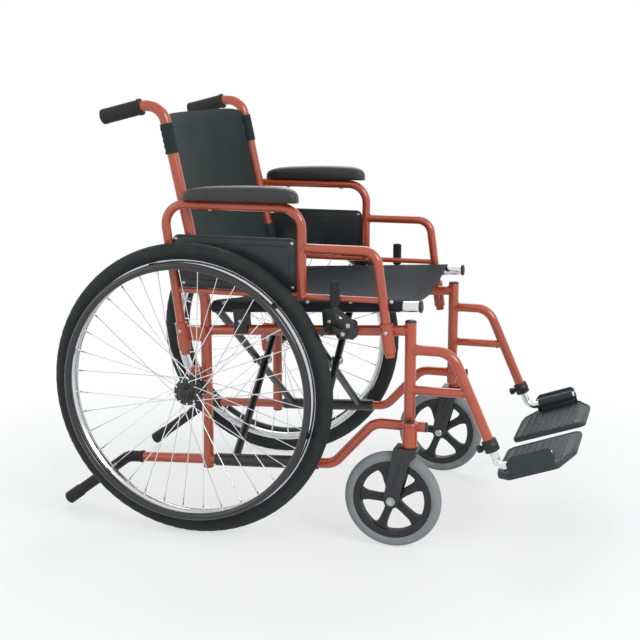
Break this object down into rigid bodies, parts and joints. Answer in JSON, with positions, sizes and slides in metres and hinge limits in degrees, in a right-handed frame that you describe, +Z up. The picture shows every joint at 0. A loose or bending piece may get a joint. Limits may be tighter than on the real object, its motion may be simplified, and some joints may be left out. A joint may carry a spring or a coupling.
{
  "type": "wheelchair",
  "caption": "Folding transit wheelchair with a red tubular frame, large spoked rear wheels with handrims, front castors, padded armrests and flip-up footplates",
  "frame": {"origin": "on the floor, under the middle of the whole chair", "axes": "+Z up, the person faces -Y, the person's left is +X"},
  "size_m": [0.654, 1.1063, 0.8911],
  "materials": {
    "frame_red": "gloss powder coat, brick red",
    "satin_black": "satin black paint on steel",
    "black_rubber": "ribbed matt rubber",
    "tyre_black": "matt black tyre with a fine tread",
    "grey_rubber": "solid grey castor rubber",
    "chrome": "bright plated steel",
    "black_plastic": "moulded, lightly textured",
    "pad_black": "moulded soft foam skin",
    "dark_fabric": "woven nylon, dark charcoal"
  },
  "bodies": {
    "right_frame": {"side_frame_right": "frame_red", "push_handle_grip_right": "black_rubber", "tipping_lever_grip_right": "black_rubber", "rear_axle_right": "chrome", "castor_cap_right": "black_plastic", "rear_saddle_right": "black_plastic", "front_saddle_right": "black_plastic", "hanger_clamp_right": "black_plastic", "wheel_lock_bracket_right": "satin_black", "back_upholstery": "dark_fabric"},
    "rear_wheel_right": {"rear_tyre_right": "tyre_black", "rear_rim_right": "chrome", "spoked_hub_right": "chrome", "handrim_right": "satin_black"},
    "castor_swivel_right": {"castor_fork_right": "satin_black", "castor_axle_right": "chrome"},
    "castor_roller_right": {"castor_wheel_right": "black_plastic", "castor_tyre_right": "grey_rubber"},
    "armrest_right": {"armrest_frame_right": "frame_red", "armrest_pad_right": "pad_black", "side_panel_right": "black_plastic"},
    "footrest_right": {"footrest_tube_right": "chrome"},
    "plate_right": {"footplate_right": "black_plastic"},
    "brake_lever_right": {"wheel_lock_lever_right": "satin_black", "wheel_lock_grip_right": "black_rubber"},
    "brake_shoe_right": {"wheel_lock_shoe_right": "satin_black"},
    "left_frame": {"side_frame_left": "frame_red", "push_handle_grip_left": "black_rubber", "tipping_lever_grip_left": "black_rubber", "rear_axle_left": "chrome", "castor_cap_left": "black_plastic", "rear_saddle_left": "black_plastic", "front_saddle_left": "black_plastic", "hanger_clamp_left": "black_plastic", "wheel_lock_bracket_left": "satin_black"},
    "rear_wheel_left": {"rear_tyre_left": "tyre_black", "rear_rim_left": "chrome", "spoked_hub_left": "chrome", "handrim_left": "satin_black"},
    "castor_swivel_left": {"castor_fork_left": "satin_black", "castor_axle_left": "chrome"},
    "castor_roller_left": {"castor_wheel_left": "black_plastic", "castor_tyre_left": "grey_rubber"},
    "armrest_left": {"armrest_frame_left": "frame_red", "armrest_pad_left": "pad_black", "side_panel_left": "black_plastic"},
    "footrest_left": {"footrest_tube_left": "chrome"},
    "plate_left": {"footplate_left": "black_plastic"},
    "brake_lever_left": {"wheel_lock_lever_left": "satin_black", "wheel_lock_grip_left": "black_rubber"},
    "brake_shoe_left": {"wheel_lock_shoe_left": "satin_black"},
    "brace_a": {"cross_brace_a": "satin_black", "pivot_bolt_rear": "chrome", "pivot_bolt_front": "chrome", "seat_rail_cap_left": "black_plastic", "seat_upholstery": "dark_fabric"},
    "brace_b": {"cross_brace_b": "satin_black", "seat_rail_cap_right": "black_plastic"}
  },
  "joints": [
    {"name": "fold", "type": "hinge", "parent": "right_frame", "child": "brace_a", "pos_m": [-0.23, 0.232, 0.13877], "axis": [0, -0.9983, 0.0576], "range_deg": [0, 33], "deforming": ["seat_upholstery", "back_upholstery"]},
    {"name": "fold_centre", "type": "hinge", "parent": "brace_a", "child": "brace_b", "pos_m": [0, 0.24144, 0.3025], "axis": [0, -0.9983, 0.0576], "range_deg": [-66.5, 0]},
    {"name": "fold_left", "type": "hinge", "parent": "brace_b", "child": "left_frame", "pos_m": [0.23, 0.232, 0.13877], "axis": [0, -0.9983, 0.0576], "range_deg": [0, 33.5]},
    {"name": "rear_wheel_right", "type": "hinge", "parent": "right_frame", "child": "rear_wheel_right", "pos_m": [-0.287, 0.224, 0.305], "axis": [1, 0, 0], "continuous": true},
    {"name": "castor_swivel_right", "type": "hinge", "parent": "right_frame", "child": "castor_swivel_right", "pos_m": [-0.247, -0.229, 0.2], "axis": [0, 0, 1], "continuous": true},
    {"name": "castor_roll_right", "type": "hinge", "parent": "castor_swivel_right", "child": "castor_roller_right", "pos_m": [-0.247, -0.196, 0.1], "axis": [1, 0, 0], "continuous": true},
    {"name": "armrest_lift_right", "type": "slide", "parent": "right_frame", "child": "armrest_right", "axis": [0, 0.1392, 0.9903], "range_m": [0, 0.12]},
    {"name": "footrest_slide_right", "type": "slide", "parent": "right_frame", "child": "footrest_right", "axis": [0, -0.4067, -0.9135], "range_m": [0, 0.04]},
    {"name": "footplate_flip_right", "type": "hinge", "parent": "footrest_right", "child": "plate_right", "pos_m": [-0.23, -0.3903, 0.1745], "axis": [0, -0.9426, 0.3338], "range_deg": [0, 88]},
    {"name": "brake_lever_right", "type": "hinge", "parent": "right_frame", "child": "brake_lever_right", "pos_m": [-0.254, -0.106, 0.456], "axis": [1, 0, 0], "range_deg": [0, 50]},
    {"name": "brake_shoe_right", "type": "hinge", "parent": "right_frame", "child": "brake_shoe_right", "pos_m": [-0.254, -0.092, 0.436], "axis": [1, 0, 0], "range_deg": [-30.5, 0]},
    {"name": "rear_wheel_left", "type": "hinge", "parent": "left_frame", "child": "rear_wheel_left", "pos_m": [0.287, 0.224, 0.305], "axis": [1, 0, 0], "continuous": true},
    {"name": "castor_swivel_left", "type": "hinge", "parent": "left_frame", "child": "castor_swivel_left", "pos_m": [0.247, -0.229, 0.2], "axis": [0, 0, 1], "continuous": true},
    {"name": "castor_roll_left", "type": "hinge", "parent": "castor_swivel_left", "child": "castor_roller_left", "pos_m": [0.247, -0.196, 0.1], "axis": [1, 0, 0], "continuous": true},
    {"name": "armrest_lift_left", "type": "slide", "parent": "left_frame", "child": "armrest_left", "axis": [0, 0.1392, 0.9903], "range_m": [0, 0.12]},
    {"name": "footrest_slide_left", "type": "slide", "parent": "left_frame", "child": "footrest_left", "axis": [0, -0.4067, -0.9135], "range_m": [0, 0.04]},
    {"name": "footplate_flip_left", "type": "hinge", "parent": "footrest_left", "child": "plate_left", "pos_m": [0.23, -0.3903, 0.1745], "axis": [0, 0.9426, -0.3338], "range_deg": [0, 88]},
    {"name": "brake_lever_left", "type": "hinge", "parent": "left_frame", "child": "brake_lever_left", "pos_m": [0.254, -0.106, 0.456], "axis": [1, 0, 0], "range_deg": [0, 50]},
    {"name": "brake_shoe_left", "type": "hinge", "parent": "left_frame", "child": "brake_shoe_left", "pos_m": [0.254, -0.092, 0.436], "axis": [1, 0, 0], "range_deg": [-30.5, 0]}
  ],
  "couplings": [
    {"joint": "fold_centre", "follows": "fold", "ratio": -2},
    {"joint": "fold_left", "follows": "fold", "ratio": 1},
    {"joint": "footplate_flip_left", "follows": "fold", "ratio": 2.6},
    {"joint": "footplate_flip_right", "follows": "fold", "ratio": 2.6},
    {"joint": "brake_shoe_left", "follows": "brake_lever_left", "ratio": -0.6},
    {"joint": "brake_shoe_right", "follows": "brake_lever_right", "ratio": -0.6}
  ]
}
